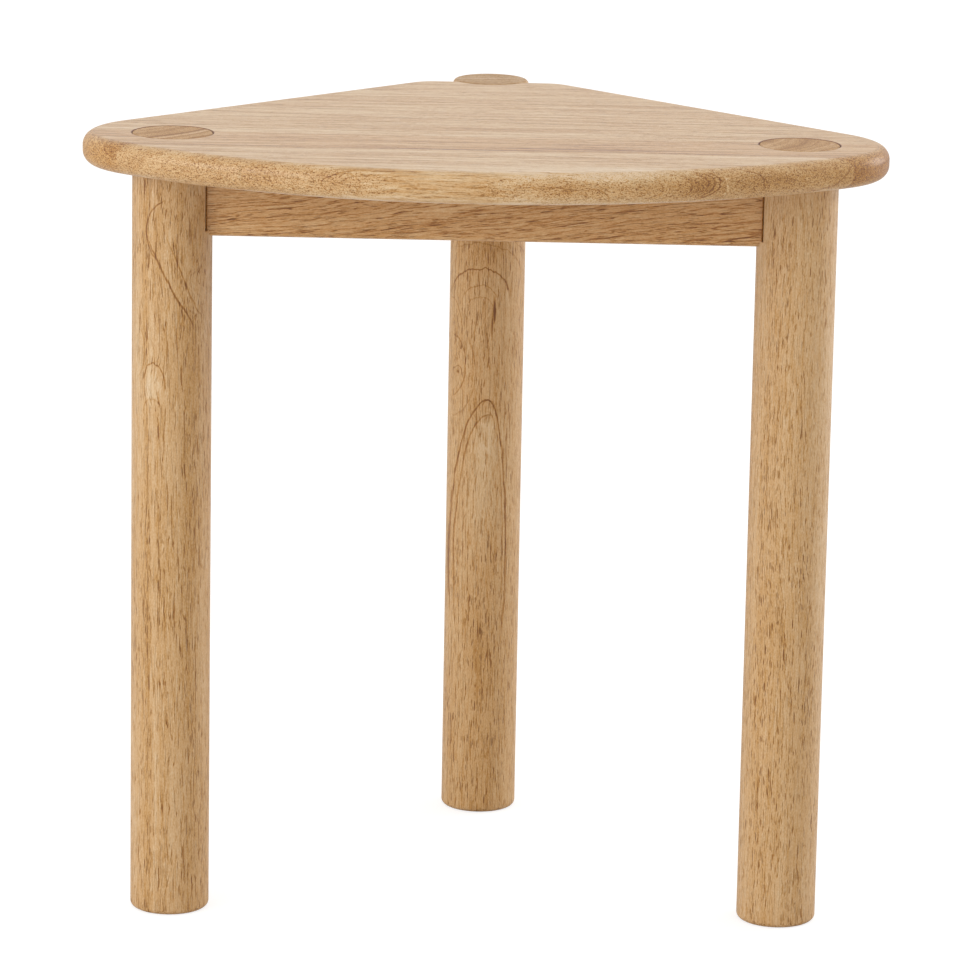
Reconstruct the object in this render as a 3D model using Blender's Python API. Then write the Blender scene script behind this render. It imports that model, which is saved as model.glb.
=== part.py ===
"""Three-legged timber side table, made as separate pieces.

Lengths are in metres and +Z is up. The pieces are laid out from the middle of the
line that joins the axes of the two front legs, with +Y towards the back leg. An
empty then moves them all, so that the world's origin is on the floor, in the middle
of the table's length and depth.
"""
import math

import bmesh
import bpy
from mathutils import Matrix, Vector

# The table as a whole
TABLE_HEIGHT = 0.500
LEG_SPREAD = 0.388  # between the axes of the front legs
LEG_DEPTH = 0.240  # from the front legs' line to the axis of the back leg
FIT_GAP = 0.0003  # between pieces that touch
OVERRUN = 0.002  # how far a cut runs past the face that it opens
MERGE_DISTANCE = 0.00001

# The top's outline
TOP_THICKNESS = 0.020
FRONT_REACH = 0.127  # from the front legs' line to the front edge
CORNER_MARGIN = 0.037  # timber left outside a front leg at the corner
CORNER_INBOARD = 0.006  # from a front leg's axis in to the centre of its corner arc
CORNER_BEHIND = 0.0045  # from the front legs' line back to that centre
CUT_BEFORE_AXIS = 0.007  # from the cut-off back corner to the back leg's axis
BACK_SHOULDER = 0.0232  # width of that corner on each side of the back leg
SHOULDER_ROUNDING = 0.025
TOP_EDGE_ROUNDING = 0.0083

# The top's boards, edge glued and lying along X
FRONT_BOARD_WIDTH = 0.032  # at the middle of the curved front
BOARD_WIDTH = 0.050
LEAST_BOARD = 0.015  # the back board is never narrower than this

# Legs
LEG_DIAMETER = 0.050
FOOT_ROUNDING = 0.0035
FRONT_LEG_TOP_ROUNDING = 0.0010
BACK_LEG_TOP_ROUNDING = 0.0030
FLAT_MARGIN = 0.0042  # leg flat seen on each side of a rail

# Rails
RAIL_HEIGHT = 0.0435
RAIL_THICKNESS = 0.018
RAIL_LOWER_ROUNDING = 0.004
RAIL_UPPER_ROUNDING = 0.001

# Dowels, in pairs one above the other
DOWEL_DIAMETER = 0.006
DOWEL_LENGTH = 0.030
DOWEL_SPACING = 0.022
DOWEL_CHAMFER = 0.0008
DOWEL_FLUTE_DEPTH = 0.00025
DOWEL_END_ROOM = 0.0005  # left past each end of a dowel for glue
SOCKET_WALL = 0.002  # timber left between the sockets of two rails in one leg

# Screws, up through the rails into the top
SCREW_LENGTH = 0.035  # under the head
SCREW_DIAMETER = 0.004
SCREW_CORE_DIAMETER = 0.0028
SCREW_BITE = 0.011  # how far a screw goes into the top
SCREW_END_ROOM = 0.001
SCREW_FROM_RAIL_END = 0.060
THREAD_PITCH = 0.0025
THREAD_TURNS = 7
SCREW_TIP_LENGTH = 0.004
SCREW_TIP_DIAMETER = 0.0006
HEAD_DIAMETER = 0.008
HEAD_HEIGHT = 0.0026
HEAD_EDGE_HEIGHT = 0.0014
HEAD_CROWN_DIAMETER = 0.0060
RECESS_SPAN = 0.0044
RECESS_WIDTH = 0.0011
RECESS_DEPTH = 0.0016
RECESS_TAPER_SHARE = 0.6
COUNTERBORE_DIAMETER = 0.0095

# How finely round shapes are cut into facets
LEG_SIDES = 40
ROUNDING_STEPS = 3
FRONT_ARC_STEPS = 28
CORNER_ARC_STEPS = 16
SHOULDER_ARC_STEPS = 5
EDGE_ROUNDING_STEPS = 4
DOWEL_FLUTES = 10
SOCKET_SIDES = 16
SCREW_SIDES = 12  # a cross-shaped recess has as many corners
THREAD_ROWS = 2  # rows of points in one pitch: one on the crest and one at the root
SMOOTH_BELOW = math.radians(32)

# Places worked out from the sizes
LEG_RADIUS = LEG_DIAMETER / 2
FRONT_LEG_X = LEG_SPREAD / 2
TOP_UNDERSIDE = TABLE_HEIGHT - TOP_THICKNESS
RAIL_TOP = TOP_UNDERSIDE - FIT_GAP
RAIL_BOTTOM = TOP_UNDERSIDE - RAIL_HEIGHT
RAIL_MIDDLE = (RAIL_TOP + RAIL_BOTTOM) / 2
BACK_CUT = LEG_DEPTH - CUT_BEFORE_AXIS
ORIGIN_BEHIND = (LEG_DEPTH + LEG_RADIUS - FRONT_REACH) / 2

# From a leg's axis to the flat that a rail butts on
FLAT_DISTANCE = math.sqrt(LEG_RADIUS ** 2 - (RAIL_THICKNESS / 2 + FLAT_MARGIN) ** 2)

LEGS = {
    "front_left": Vector((-FRONT_LEG_X, 0, 0)),
    "front_right": Vector((FRONT_LEG_X, 0, 0)),
    "back": Vector((0, LEG_DEPTH, 0)),
}
RAILS = {
    "front": ("front_left", "front_right"),
    "left": ("front_left", "back"),
    "right": ("front_right", "back"),
}

# Colours, as linear red, green and blue
TOP_COLOURS = {
    "pale": (0.64, 0.46, 0.29),
    "rosy": (0.60, 0.40, 0.25),
}
LEG_COLOUR = (0.53, 0.33, 0.16)
RAIL_COLOUR = (0.50, 0.28, 0.12)
DOWEL_COLOUR = (0.60, 0.43, 0.26)
STEEL_COLOUR = (0.60, 0.60, 0.57)
ROSY_BOARD = 3  # counted from the front

TABLE_NAME = "side_table"


def clear_scene():
    for item in list(bpy.data.objects):
        bpy.data.objects.remove(item, do_unlink=True)


# Shapes in bmesh

def circle(radius, z, sides, phase=0.0):
    angles = [phase + 2 * math.pi * i / sides for i in range(sides)]
    return [(radius * math.cos(angle), radius * math.sin(angle), z) for angle in angles]


def skin(bm, loops, closed=True):
    """Lay faces between loops of equal length, each anticlockwise and above the last."""
    rows = [[bm.verts.new(point) for point in loop] for loop in loops]
    for low, high in zip(rows, rows[1:]):
        for i in range(len(low) if closed else len(low) - 1):
            following = (i + 1) % len(low)
            bm.faces.new((low[i], low[following], high[following], high[i]))
    return rows


def loft(bm, loops):
    rows = skin(bm, loops)
    bm.faces.new(rows[0][::-1])
    bm.faces.new(rows[-1])


def lathe(bm, profile, sides):
    """Turn (radius, z) pairs, listed upwards, about the Z axis."""
    loft(bm, [circle(radius, z, sides) for radius, z in profile])


def block(bm, low, high):
    corners = ((low[0], low[1]), (high[0], low[1]), (high[0], high[1]), (low[0], high[1]))
    loft(bm, [[(x, y, z) for x, y in corners] for z in (low[2], high[2])])


def arc(centre, radius, start, end, steps):
    """Points on an arc, its two ends among them."""
    angles = [start + (end - start) * i / steps for i in range(steps + 1)]
    return [
        (centre[0] + radius * math.cos(angle), centre[1] + radius * math.sin(angle))
        for angle in angles
    ]


def rounded_post(radius, low, high, low_rounding, high_rounding):
    """Profile of a round post with a rounded edge at each end."""
    quarter = math.pi / 2
    foot = arc((radius - low_rounding, low + low_rounding), low_rounding,
               -quarter, 0, ROUNDING_STEPS)
    head = arc((radius - high_rounding, high - high_rounding), high_rounding,
               0, quarter, ROUNDING_STEPS)
    return foot + head


# Objects

def finish(name, colour, roughness=0.55, metallic=0.0):
    material = bpy.data.materials.new(name + "_finish")
    material.use_nodes = True
    shader = material.node_tree.nodes["Principled BSDF"]
    shader.inputs["Base Color"].default_value = (*colour, 1)
    shader.inputs["Roughness"].default_value = roughness
    shader.inputs["Metallic"].default_value = metallic
    material.diffuse_color = (*colour, 1)
    return material


def to_mesh(name, bm, material=None):
    bmesh.ops.recalc_face_normals(bm, faces=bm.faces)
    mesh = bpy.data.meshes.new(name)
    bm.to_mesh(mesh)
    bm.free()
    if material:
        mesh.materials.append(material)
        mesh.shade_smooth()
        mesh.set_sharp_from_angle(angle=SMOOTH_BELOW)
    return mesh


def add_object(name, mesh, place=Vector((0, 0, 0)), turn=0.0):
    item = bpy.data.objects.new(name, mesh)
    item.location = place
    item.rotation_euler = (0, 0, turn)
    item.parent = bpy.data.objects[TABLE_NAME]
    bpy.context.scene.collection.objects.link(item)
    return item


def add_cutter(name, mesh, place, turn=0.0):
    item = add_object(name, mesh, place, turn)
    item.hide_render = True
    item.display_type = "WIRE"
    return item


def cut(piece, cutters):
    for cutter in cutters:
        modifier = piece.modifiers.new(cutter.name, "BOOLEAN")
        modifier.operation = "DIFFERENCE"
        modifier.solver = "EXACT"
        modifier.object = cutter


# The top

def top_outline(inset):
    """Plan of the top, anticlockwise from the left of the front arc, drawn in by inset."""
    corner_x = FRONT_LEG_X - CORNER_INBOARD
    corner_radius = LEG_RADIUS + CORNER_MARGIN

    # The front arc touches both corner arcs and the front edge.
    bulge = FRONT_REACH - corner_radius
    front_centre = (corner_x ** 2 + CORNER_BEHIND ** 2 - bulge ** 2) / (2 * (bulge + CORNER_BEHIND))
    front_radius = front_centre + FRONT_REACH
    front_angle = math.atan2(CORNER_BEHIND - front_centre, corner_x)

    # The straight side touches the corner arc and runs to the end of the cut-off corner.
    notch_half_width = math.sqrt(LEG_RADIUS ** 2 - CUT_BEFORE_AXIS ** 2)
    cut_end = notch_half_width + BACK_SHOULDER
    run_x = cut_end - corner_x
    run_y = BACK_CUT - CORNER_BEHIND
    side_angle = math.atan2(run_y, run_x) - math.acos(corner_radius / math.hypot(run_x, run_y))
    shoulder_x = cut_end - SHOULDER_ROUNDING * (1 - math.sin(side_angle)) / math.cos(side_angle)
    shoulder_y = BACK_CUT - SHOULDER_ROUNDING

    front = arc((0, front_centre), front_radius - inset,
                -math.pi - front_angle, front_angle, FRONT_ARC_STEPS)
    corner = arc((corner_x, CORNER_BEHIND), corner_radius - inset,
                 front_angle, side_angle, CORNER_ARC_STEPS)
    shoulder = arc((shoulder_x, shoulder_y), SHOULDER_ROUNDING - inset,
                   side_angle, math.pi / 2, SHOULDER_ARC_STEPS)
    right_side = corner[1:] + shoulder
    left_side = [(-x, y) for x, y in reversed(right_side)]
    return front + right_side + left_side


def top_blank(bm):
    """The whole top, with its edge rounded above and below, before it is cut up."""
    rounding = TOP_EDGE_ROUNDING
    quarter = math.pi / 2
    lower = arc((rounding, TOP_UNDERSIDE + rounding), rounding,
                -quarter, -2 * quarter, EDGE_ROUNDING_STEPS)
    upper = arc((rounding, TABLE_HEIGHT - rounding), rounding,
                2 * quarter, quarter, EDGE_ROUNDING_STEPS)
    loft(bm, [[(x, y, z) for x, y in top_outline(inset)] for inset, z in lower + upper])


def glue_lines():
    """Places of the glue lines along Y, from front to back."""
    line = FRONT_BOARD_WIDTH - FRONT_REACH
    lines = []
    while line < BACK_CUT - LEAST_BOARD:
        lines.append(line)
        line += BOARD_WIDTH
    return lines


def slice_off(bm, line, direction):
    """Remove what lies beyond a plane across Y, and close the cut."""
    geometry = bm.verts[:] + bm.edges[:] + bm.faces[:]
    result = bmesh.ops.bisect_plane(
        bm, geom=geometry, dist=MERGE_DISTANCE, plane_co=(0, line, 0),
        plane_no=(0, direction, 0), clear_outer=True,
    )
    rim = [item for item in result["geom_cut"] if isinstance(item, bmesh.types.BMEdge)]
    bmesh.ops.edgeloop_fill(bm, edges=rim)


def build_top(cutters):
    lines = glue_lines()
    for number, (front, back) in enumerate(zip([None] + lines, lines + [None]), start=1):
        bm = bmesh.new()
        top_blank(bm)
        if front is not None:
            slice_off(bm, front + FIT_GAP / 2, -1)
        if back is not None:
            slice_off(bm, back - FIT_GAP / 2, 1)
        name = f"top_board_{number}"
        colour = TOP_COLOURS["rosy" if number == ROSY_BOARD else "pale"]
        board = add_object(name, to_mesh(name, bm, finish(name, colour)))
        cut(board, cutters)


# Legs

def rail_directions(leg):
    """Headings in plan from a leg's axis to the legs that its rails run to."""
    headings = {}
    for rail, ends in RAILS.items():
        if leg in ends:
            other = ends[1] if ends[0] == leg else ends[0]
            run = LEGS[other] - LEGS[leg]
            headings[rail] = math.atan2(run.y, run.x)
    return headings


def build_leg(leg, cutters):
    rounding = BACK_LEG_TOP_ROUNDING if leg == "back" else FRONT_LEG_TOP_ROUNDING
    bm = bmesh.new()
    lathe(bm, rounded_post(LEG_RADIUS, 0, TABLE_HEIGHT, FOOT_ROUNDING, rounding), LEG_SIDES)
    name = "leg_" + leg
    item = add_object(name, to_mesh(name, bm, finish(name, LEG_COLOUR)), LEGS[leg])
    cut(item, cutters)


def leg_hole(leg):
    """The hole in the top for a leg, or the notch for the back one."""
    bm = bmesh.new()
    ends = (TOP_UNDERSIDE - OVERRUN, TABLE_HEIGHT + OVERRUN)
    lathe(bm, [(LEG_RADIUS + FIT_GAP, z) for z in ends], LEG_SIDES)
    name = "hole_for_leg_" + leg
    return add_cutter(name, to_mesh(name, bm), LEGS[leg])


def leg_flat(leg, rail, heading):
    """The flat on a leg that the end of a rail butts on."""
    bm = bmesh.new()
    reach = LEG_DIAMETER
    low = (FLAT_DISTANCE, -reach, RAIL_BOTTOM - FIT_GAP)
    block(bm, low, (reach, reach, TOP_UNDERSIDE))
    name = f"flat_for_{rail}_rail_on_leg_{leg}"
    return add_cutter(name, to_mesh(name, bm), LEGS[leg], heading)


# Dowelled joints, each drawn with +X from the leg's axis along the rail

def dowel_tip_distance():
    """From a leg's axis to the dowel tips, where two rails' sockets still clear each other."""
    socket_radius = DOWEL_DIAMETER / 2 + FIT_GAP
    distances = []
    for leg in LEGS:
        first, second = rail_directions(leg).values()
        half_angle = abs(math.remainder(first - second, 2 * math.pi)) / 2
        across = SOCKET_WALL / 2 + socket_radius * math.cos(half_angle)
        distances.append(across / math.sin(half_angle))
    return max(distances) + DOWEL_END_ROOM


def dowel_heights():
    return {
        "lower": RAIL_MIDDLE - DOWEL_SPACING / 2,
        "upper": RAIL_MIDDLE + DOWEL_SPACING / 2,
    }


def lay_along_x(bm):
    bmesh.ops.rotate(bm, verts=bm.verts, matrix=Matrix.Rotation(math.pi / 2, 3, "Y"))


def socket_mesh():
    """A dowel's hole, in the leg and in the rail's end alike."""
    tip = dowel_tip_distance()
    ends = (tip - DOWEL_END_ROOM, tip + DOWEL_LENGTH + DOWEL_END_ROOM)
    bm = bmesh.new()
    lathe(bm, [(DOWEL_DIAMETER / 2 + FIT_GAP, z) for z in ends], SOCKET_SIDES)
    lay_along_x(bm)
    return to_mesh("dowel_socket", bm)


def fluted_circle(radius, z):
    """A dowel's cross-section, with the points between its ridges drawn in."""
    ridges = circle(radius, z, 2 * DOWEL_FLUTES)
    grooves = circle(radius - DOWEL_FLUTE_DEPTH, z, 2 * DOWEL_FLUTES)
    return [grooves[i] if i % 2 else ridges[i] for i in range(2 * DOWEL_FLUTES)]


def dowel_mesh():
    tip = dowel_tip_distance()
    far = tip + DOWEL_LENGTH
    radius = DOWEL_DIAMETER / 2
    profile = [
        (radius - DOWEL_CHAMFER, tip),
        (radius, tip + DOWEL_CHAMFER),
        (radius, far - DOWEL_CHAMFER),
        (radius - DOWEL_CHAMFER, far),
    ]
    bm = bmesh.new()
    loft(bm, [fluted_circle(r, z) for r, z in profile])
    lay_along_x(bm)
    return to_mesh("dowel", bm, finish("dowel", DOWEL_COLOUR))


# Rails, each drawn with +X along it and its middle at the origin

def rail_run(rail):
    """Middle of a rail in plan, its heading and its length between the leg flats."""
    start, end = (LEGS[leg] for leg in RAILS[rail])
    run = end - start
    length = run.length - 2 * (FLAT_DISTANCE + FIT_GAP)
    return (start + end) / 2, math.atan2(run.y, run.x), length


def rail_section():
    """A rail's cross-section as (y, z), anticlockwise seen from +X."""
    quarter = math.pi / 2
    half = RAIL_THICKNESS / 2
    low, high = RAIL_LOWER_ROUNDING, RAIL_UPPER_ROUNDING
    return (
        arc((half - low, RAIL_BOTTOM + low), low, -quarter, 0, ROUNDING_STEPS)
        + arc((half - high, RAIL_TOP - high), high, 0, quarter, 1)
        + arc((high - half, RAIL_TOP - high), high, quarter, 2 * quarter, 1)
        + arc((low - half, RAIL_BOTTOM + low), low, 2 * quarter, 3 * quarter, ROUNDING_STEPS)
    )


def build_rail(rail, cutters):
    middle, heading, length = rail_run(rail)
    section = rail_section()
    bm = bmesh.new()
    loft(bm, [[(x, y, z) for y, z in section] for x in (-length / 2, length / 2)])
    name = "rail_" + rail
    item = add_object(name, to_mesh(name, bm, finish(name, RAIL_COLOUR)), middle, heading)
    cut(item, cutters)


# Screws, each drawn head down with the underside of its head at z = 0

def screw_places(rail):
    """Axes of a rail's screws, at the height that their heads pull against."""
    middle, heading, length = rail_run(rail)
    along = Vector((math.cos(heading), math.sin(heading), 0))
    seat = Vector((0, 0, TOP_UNDERSIDE + SCREW_BITE - SCREW_LENGTH))
    reach = length / 2 - SCREW_FROM_RAIL_END
    return [middle + seat + along * reach * side for side in (-1, 1)]


def bore_mesh():
    """A screw's counterbore and hole, through a rail and into the top."""
    wide = COUNTERBORE_DIAMETER / 2
    narrow = SCREW_DIAMETER / 2 + FIT_GAP
    mouth = RAIL_BOTTOM - OVERRUN - (TOP_UNDERSIDE + SCREW_BITE - SCREW_LENGTH)
    profile = [
        (wide, mouth),
        (wide, FIT_GAP),
        (narrow, FIT_GAP),
        (narrow, SCREW_LENGTH + SCREW_END_ROOM),
    ]
    bm = bmesh.new()
    lathe(bm, profile, SOCKET_SIDES)
    return to_mesh("screw_bore", bm)


def cross(span, width, z):
    """A cross with square ends, anticlockwise from the lower corner of its right arm."""
    arm, half = span / 2, width / 2
    points = []
    for x, y in ((1, 0), (0, 1), (-1, 0), (0, -1)):
        points += [(arm * x + half * y, arm * y - half * x, z)]
        points += [(arm * x - half * y, arm * y + half * x, z)]
        points += [(half * (x - y), half * (x + y), z)]
    return points


def thread_rows(start, phase):
    """Rows of points that wind up a thread and run out level at both ends."""
    end = start + THREAD_TURNS * THREAD_PITCH
    rows = []
    for row in range(THREAD_ROWS * (THREAD_TURNS + 1) + 1):
        points = []
        for side in range(SCREW_SIDES + 1):
            turns_up = row / THREAD_ROWS + side / SCREW_SIDES - 1
            height = start + turns_up * THREAD_PITCH
            on_crest = row % THREAD_ROWS == 0 and start < height < end
            radius = (SCREW_DIAMETER if on_crest else SCREW_CORE_DIAMETER) / 2
            angle = phase + 2 * math.pi * side / SCREW_SIDES
            level = min(max(height, start), end)
            points.append((radius * math.cos(angle), radius * math.sin(angle), level))
        rows.append(points)
    return rows


def screw_mesh():
    """A pan-head wood screw with a cross-shaped recess."""
    phase = -math.pi / SCREW_SIDES  # lines the sides up with the corners of the cross
    thread_end = SCREW_LENGTH - SCREW_TIP_LENGTH
    thread_start = thread_end - THREAD_TURNS * THREAD_PITCH
    core = SCREW_CORE_DIAMETER / 2
    head_and_shank = [
        cross(RECESS_SPAN * RECESS_TAPER_SHARE, RECESS_WIDTH, RECESS_DEPTH - HEAD_HEIGHT),
        cross(RECESS_SPAN, RECESS_WIDTH, -HEAD_HEIGHT),
        circle(HEAD_CROWN_DIAMETER / 2, -HEAD_HEIGHT, SCREW_SIDES, phase=phase),
        circle(HEAD_DIAMETER / 2, -HEAD_EDGE_HEIGHT, SCREW_SIDES, phase=phase),
        circle(HEAD_DIAMETER / 2, 0, SCREW_SIDES, phase=phase),
        circle(core, 0, SCREW_SIDES, phase=phase),
        circle(core, thread_start, SCREW_SIDES, phase=phase),
    ]
    tip = [
        circle(core, thread_end, SCREW_SIDES, phase=phase),
        circle(SCREW_TIP_DIAMETER / 2, SCREW_LENGTH, SCREW_SIDES, phase=phase),
    ]
    bm = bmesh.new()
    bm.faces.new(skin(bm, head_and_shank)[0][::-1])
    skin(bm, thread_rows(thread_start, phase), closed=False)
    bm.faces.new(skin(bm, tip)[-1])
    bmesh.ops.remove_doubles(bm, verts=bm.verts, dist=MERGE_DISTANCE)
    return to_mesh("screw", bm, finish("screw", STEEL_COLOUR, roughness=0.35, metallic=1.0))


# The table

def add_table_empty():
    table = bpy.data.objects.new(TABLE_NAME, None)
    table.location = (0, -ORIGIN_BEHIND, 0)
    bpy.context.scene.collection.objects.link(table)


def add_joint(leg, rail, heading, dowel, socket):
    """Place a joint's dowels, and return the cutters for their sockets."""
    cutters = []
    for level, height in dowel_heights().items():
        place = LEGS[leg] + Vector((0, 0, height))
        label = f"{rail}_rail_at_{leg}_leg_{level}"
        add_object("dowel_" + label, dowel, place, heading)
        cutters.append(add_cutter("socket_" + label, socket, place, heading))
    return cutters


def add_screws(rail, screw, bore):
    """Place a rail's screws, and return the cutters for their bores."""
    cutters = []
    for number, place in enumerate(screw_places(rail), start=1):
        add_object(f"screw_{rail}_rail_{number}", screw, place)
        cutters.append(add_cutter(f"bore_{rail}_rail_{number}", bore, place))
    return cutters


def build_table():
    clear_scene()
    add_table_empty()
    screw, bore = screw_mesh(), bore_mesh()
    dowel, socket = dowel_mesh(), socket_mesh()

    bores = {rail: add_screws(rail, screw, bore) for rail in RAILS}
    sockets = {rail: [] for rail in RAILS}
    for leg in LEGS:
        leg_cutters = []
        for rail, heading in rail_directions(leg).items():
            joint = add_joint(leg, rail, heading, dowel, socket)
            leg_cutters += [leg_flat(leg, rail, heading)] + joint
            sockets[rail] += joint
        build_leg(leg, leg_cutters)
    for rail in RAILS:
        build_rail(rail, bores[rail] + sockets[rail])
    build_top([leg_hole(leg) for leg in LEGS] + sum(bores.values(), []))


build_table()
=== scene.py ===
"""Looks of the three-legged timber side table.

Finely cut meshes stand for the boards, legs, rails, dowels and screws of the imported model.
Every timber surface takes its figure from a solid pattern, so that long grain, bullnose and
end grain belong to one block of wood. Lengths are in metres, and in the materials in
millimetres, except for the depth of a relief.
"""
import math

import bmesh
import bpy
from mathutils import Matrix, Vector


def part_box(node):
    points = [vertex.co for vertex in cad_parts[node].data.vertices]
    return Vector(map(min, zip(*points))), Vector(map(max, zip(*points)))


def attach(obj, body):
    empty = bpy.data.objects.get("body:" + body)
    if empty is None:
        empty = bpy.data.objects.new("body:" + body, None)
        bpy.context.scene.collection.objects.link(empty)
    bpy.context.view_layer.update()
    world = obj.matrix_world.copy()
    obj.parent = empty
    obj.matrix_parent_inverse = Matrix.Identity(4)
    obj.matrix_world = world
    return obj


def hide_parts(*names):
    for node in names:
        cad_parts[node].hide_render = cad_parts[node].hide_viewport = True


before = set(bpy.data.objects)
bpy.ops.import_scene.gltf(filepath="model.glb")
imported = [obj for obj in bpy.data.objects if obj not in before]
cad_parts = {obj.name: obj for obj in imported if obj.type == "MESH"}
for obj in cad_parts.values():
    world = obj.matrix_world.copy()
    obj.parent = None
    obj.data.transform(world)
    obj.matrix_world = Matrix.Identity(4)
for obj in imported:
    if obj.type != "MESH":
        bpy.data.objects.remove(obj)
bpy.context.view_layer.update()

# Sizes that are read from the frame
LEG_BOXES = {leg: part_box("leg_" + leg) for leg in ("front_left", "front_right", "back")}
LEG_AXES = {leg: (low + high).xy.to_3d() / 2 for leg, (low, high) in LEG_BOXES.items()}  # at z = 0
LEG_RADIUS = (LEG_BOXES["back"][1].x - LEG_BOXES["back"][0].x) / 2
TABLE_HEIGHT = LEG_BOXES["back"][1].z
LEG_LINE = LEG_AXES["front_left"].y  # the front legs' line, along X
FRONT_LEG_X = LEG_AXES["front_right"].x

BOARD_NAMES = sorted(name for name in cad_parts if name.startswith("top_board_"))
BOARD_BOXES = [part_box(name) for name in BOARD_NAMES]
TOP_UNDERSIDE = BOARD_BOXES[0][0].z
FRONT_REACH = LEG_LINE - BOARD_BOXES[0][0].y
BACK_CUT = BOARD_BOXES[-1][1].y - LEG_LINE

RAIL_LOW, RAIL_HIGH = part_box("rail_front")
RAIL_BOTTOM = RAIL_LOW.z
RAIL_TOP = RAIL_HIGH.z
RAIL_THICKNESS = RAIL_HIGH.y - RAIL_LOW.y
FLAT_DISTANCE = FRONT_LEG_X - RAIL_HIGH.x  # from a leg's axis to a rail's end

DOWEL_BOXES = {
    level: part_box("dowel_front_rail_at_front_left_leg_" + level) for level in ("lower", "upper")
}
DOWEL_START = DOWEL_BOXES["lower"][0].x + FRONT_LEG_X  # from a leg's axis
DOWEL_END = DOWEL_BOXES["lower"][1].x + FRONT_LEG_X
SCREW_NAMES = sorted(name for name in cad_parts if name.startswith("screw_"))
SCREW_BOXES = {name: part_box(name) for name in SCREW_NAMES}

# Sizes that a box doesn't tell
FIT_GAP = 0.0003
OVERRUN = 0.002
MERGE_DISTANCE = 0.00001
FACET_ALLOWANCE = 0.00005  # keeps the finer outline inside the plainer one's box
CORNER_MARGIN = 0.037
CORNER_INBOARD = 0.006
CORNER_BEHIND = 0.0045
CUT_BEFORE_AXIS = 0.007
BACK_SHOULDER = 0.0232
SHOULDER_ROUNDING = 0.025
TOP_EDGE_ROUNDING = 0.0083
HOLE_CHAMFER = 0.0004
GLUE_GAP = 0.00004
SEAT_GAP = 0.00005
RAIL_END_CHAMFER = 0.0008

FOOT_ROUNDING = 0.0035
FRONT_LEG_TOP_ROUNDING = 0.0010
BACK_LEG_TOP_ROUNDING = 0.0030
RAIL_LOWER_ROUNDING = 0.004
RAIL_UPPER_ROUNDING = 0.001

DOWEL_RADIUS = 0.003
DOWEL_CHAMFER = 0.0008
DOWEL_FLUTE_DEPTH = 0.00025
DOWEL_FLUTES = 10
DOWEL_END_ROOM = 0.0005
SCREW_RADIUS = 0.002
SCREW_CORE_RADIUS = 0.0014
SCREW_TIP_RADIUS = 0.0003
SCREW_TIP_LENGTH = 0.004
SCREW_END_ROOM = 0.001
THREAD_PITCH = 0.0025
THREAD_TURNS = 7
HEAD_RADIUS = 0.004
HEAD_CROWN_RADIUS = 0.003
HEAD_HEIGHT = 0.0026
HEAD_EDGE_HEIGHT = 0.0014
RECESS_SPAN = 0.0044
RECESS_WIDTH = 0.0011
RECESS_DEPTH = 0.0016
RECESS_TAPER_SHARE = 0.6
COUNTERBORE_RADIUS = 0.00475

# How finely round shapes are cut
LEG_SIDES = 144
HOLE_SIDES = 40
DOWEL_SIDES = 60  # a whole number for each flute
SCREW_SIDES = 36  # three for each corner of the cross-shaped recess
THREAD_ROWS = 5  # rows of points in one pitch, with the crest on the first
FRONT_ARC_STEPS = 120
CORNER_ARC_STEPS = 60
SHOULDER_ARC_STEPS = 20
EDGE_STEPS = 12
ROUNDING_STEPS = 8
SMOOTH_BELOW = math.radians(32)
QUARTER = math.pi / 2
CROSS_TURN = math.pi / 12  # lines a circle's points up with the cross

RAILS = {
    "front": ("front_left", "front_right"),
    "left": ("front_left", "back"),
    "right": ("front_right", "back"),
}


# Shapes in bmesh

def circle(radius, z, sides):
    angles = [2 * math.pi * i / sides for i in range(sides)]
    return [(radius * math.cos(angle), radius * math.sin(angle), z) for angle in angles]


def skin(bm, loops, closed=True):
    """Lay faces between rows of points of equal length."""
    rows = [[bm.verts.new(point) for point in loop] for loop in loops]
    for low, high in zip(rows, rows[1:]):
        for i in range(len(low) if closed else len(low) - 1):
            following = (i + 1) % len(low)
            bm.faces.new((low[i], low[following], high[following], high[i]))
    return rows


def loft(loops):
    """Skin closed loops and cap both ends."""
    bm = bmesh.new()
    rows = skin(bm, loops)
    bm.faces.new(rows[0][::-1])
    bm.faces.new(rows[-1])
    return bm


def lathe(profile, sides):
    return loft([circle(radius, z, sides) for radius, z in profile])


def arc(centre, radius, start, end, steps):
    angles = [start + (end - start) * i / steps for i in range(steps + 1)]
    return [
        (centre[0] + radius * math.cos(angle), centre[1] + radius * math.sin(angle))
        for angle in angles
    ]


def add_object(name, data):
    item = bpy.data.objects.new(name, data)
    bpy.context.scene.collection.objects.link(item)
    return item


def to_object(name, bm, material=None, place=Vector((0, 0, 0)), turn=0.0):
    """Make an object whose place and turn are in its mesh."""
    bmesh.ops.recalc_face_normals(bm, faces=bm.faces)
    mesh = bpy.data.meshes.new(name)
    bm.to_mesh(mesh)
    bm.free()
    mesh.transform(Matrix.Translation(place) @ Matrix.Rotation(turn, 4, "Z"))
    if material:
        mesh.materials.append(material)
    return add_object(name, mesh)


def lay_along_x(bm):
    bmesh.ops.rotate(bm, verts=bm.verts, matrix=Matrix.Rotation(QUARTER, 3, "Y"))


def carve(piece, cutters):
    """Cut a piece, shade it smooth and keep the result as its own mesh."""
    for cutter in cutters:
        modifier = piece.modifiers.new(cutter.name, "BOOLEAN")
        modifier.operation = "DIFFERENCE"
        modifier.solver = "EXACT"
        modifier.object = cutter
    bpy.context.view_layer.update()
    evaluated = piece.evaluated_get(bpy.context.evaluated_depsgraph_get())
    mesh = bpy.data.meshes.new_from_object(evaluated)
    piece.modifiers.clear()
    piece.data = mesh
    mesh.shade_smooth()
    mesh.set_sharp_from_angle(angle=SMOOTH_BELOW)
    weighting = piece.modifiers.new("flat faces stay flat", "WEIGHTED_NORMAL")
    weighting.keep_sharp = True
    return piece


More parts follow.
